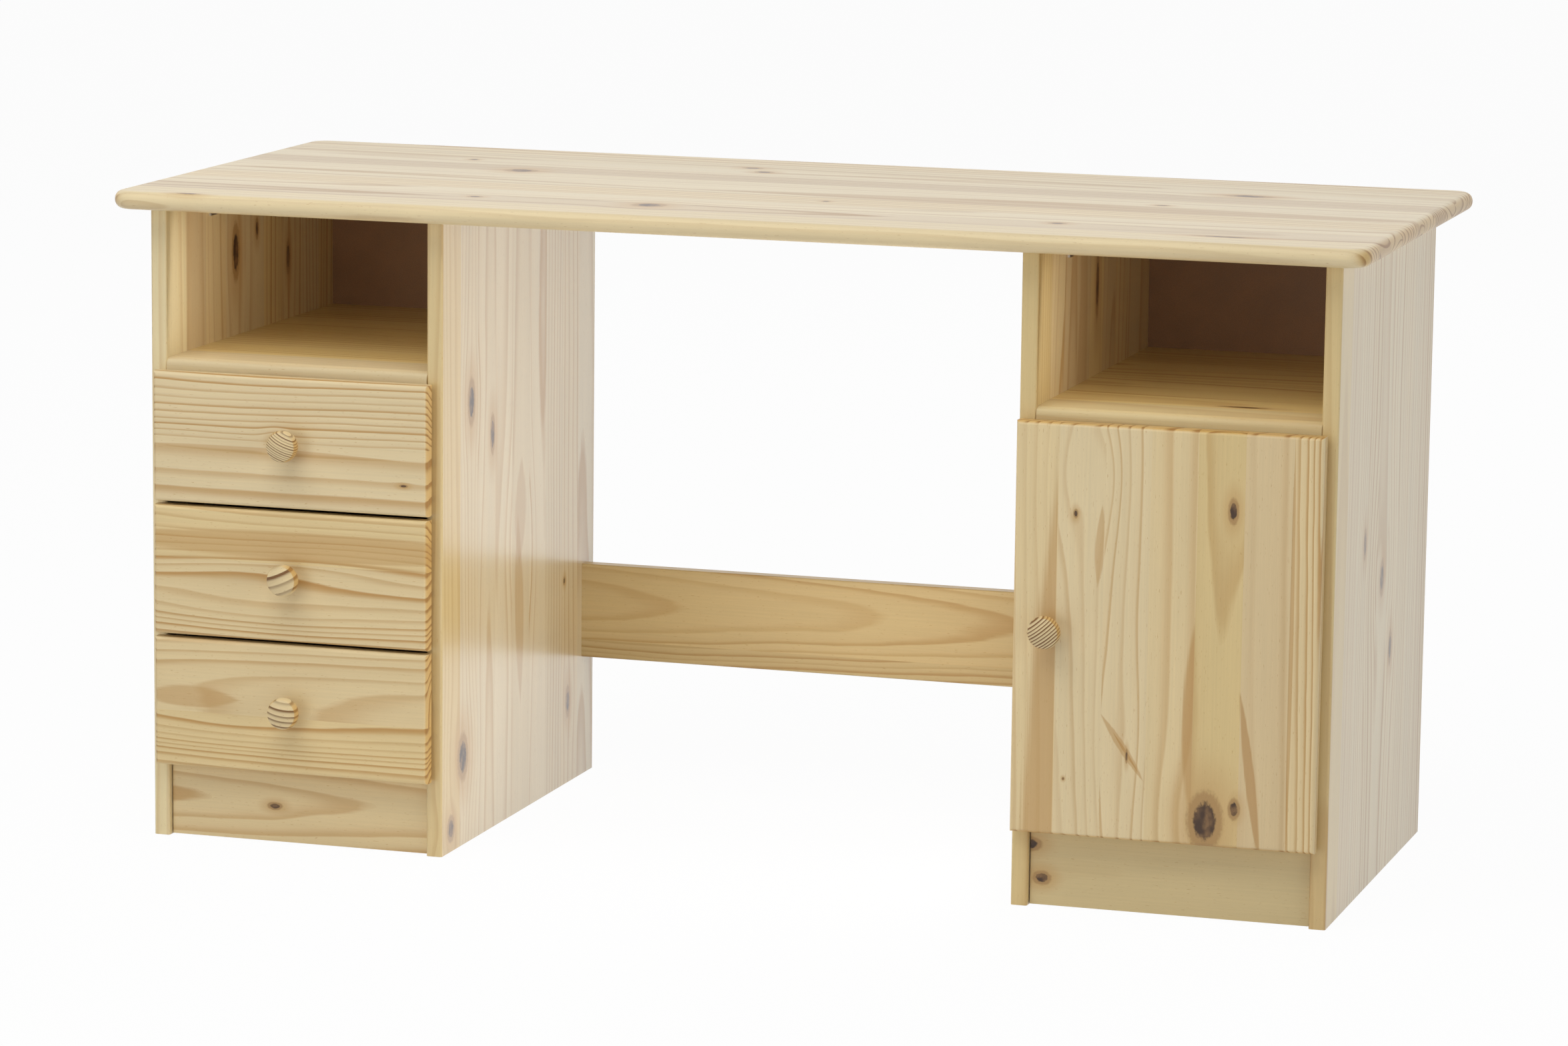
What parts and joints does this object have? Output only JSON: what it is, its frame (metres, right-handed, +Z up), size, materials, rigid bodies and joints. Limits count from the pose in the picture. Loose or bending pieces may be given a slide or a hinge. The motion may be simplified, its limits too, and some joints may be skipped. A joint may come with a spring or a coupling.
{
  "type": "desk",
  "caption": "Solid pine pedestal desk: round-nosed top over drawers on the left and a hinged cupboard on the right, each under an open cubby, joined by a rear stretcher.",
  "frame": {"origin": "on the floor, under the middle of the overall width and depth, knobs included", "axes": "+Z up, +X to the sitter's right, +Y to the back; the drawers and door face -Y"},
  "size_m": [1.39, 0.61, 0.72],
  "materials": {
    "pine": "clear lacquer",
    "hardboard": "smooth brown hardboard",
    "dowel_wood": "plain fluted beech",
    "zinc_steel": "zinc plated",
    "nickel_steel": "nickel plated",
    "white_plastic": "white plastic",
    "magnet": "ferrite magnet"
  },
  "bodies": {
    "carcass": {"desk_top": "pine", "left_outer_side": "pine", "left_inner_side": "pine", "right_inner_side": "pine", "right_outer_side": "pine", "left_cubby_shelf": "pine", "right_cubby_shelf": "pine", "left_bottom": "pine", "right_bottom": "pine", "left_plinth": "pine", "right_plinth": "pine", "left_back": "hardboard", "right_back": "hardboard", "stretcher": "pine", "carcass_dowels": "dowel_wood", "stretcher_bolts": "zinc_steel", "barrel_nuts": "zinc_steel", "top_brackets": "zinc_steel", "hinge_plates": "nickel_steel", "hinge_arms": "nickel_steel", "catch_housing": "white_plastic", "catch_magnet": "magnet", "upper_left_runner": "pine", "upper_right_runner": "pine", "middle_left_runner": "pine", "middle_right_runner": "pine", "lower_left_runner": "pine", "lower_right_runner": "pine"},
    "upper_drawer": {"upper_drawer_front": "pine", "upper_drawer_left_side": "pine", "upper_drawer_right_side": "pine", "upper_drawer_back": "pine", "upper_drawer_bottom": "hardboard", "upper_drawer_knob": "pine", "upper_drawer_knob_screw": "zinc_steel"},
    "middle_drawer": {"middle_drawer_front": "pine", "middle_drawer_left_side": "pine", "middle_drawer_right_side": "pine", "middle_drawer_back": "pine", "middle_drawer_bottom": "hardboard", "middle_drawer_knob": "pine", "middle_drawer_knob_screw": "zinc_steel"},
    "lower_drawer": {"lower_drawer_front": "pine", "lower_drawer_left_side": "pine", "lower_drawer_right_side": "pine", "lower_drawer_back": "pine", "lower_drawer_bottom": "hardboard", "lower_drawer_knob": "pine", "lower_drawer_knob_screw": "zinc_steel"},
    "door": {"door_panel": "pine", "door_knob": "pine", "door_knob_screw": "zinc_steel", "hinge_cups": "nickel_steel", "hinge_pins": "nickel_steel", "strike_plate": "zinc_steel"}
  },
  "joints": [
    {"name": "upper_drawer_slide", "type": "slide", "parent": "carcass", "child": "upper_drawer", "axis": [0, -1, 0], "range_m": [0, 0.33]},
    {"name": "middle_drawer_slide", "type": "slide", "parent": "carcass", "child": "middle_drawer", "axis": [0, -1, 0], "range_m": [0, 0.33]},
    {"name": "lower_drawer_slide", "type": "slide", "parent": "carcass", "child": "lower_drawer", "axis": [0, -1, 0], "range_m": [0, 0.33]},
    {"name": "door_swing", "type": "hinge", "parent": "carcass", "child": "door", "pos_m": [0.644, -0.266, 0.30325], "axis": [0, 0, 1], "range_deg": [0, 95]}
  ]
}
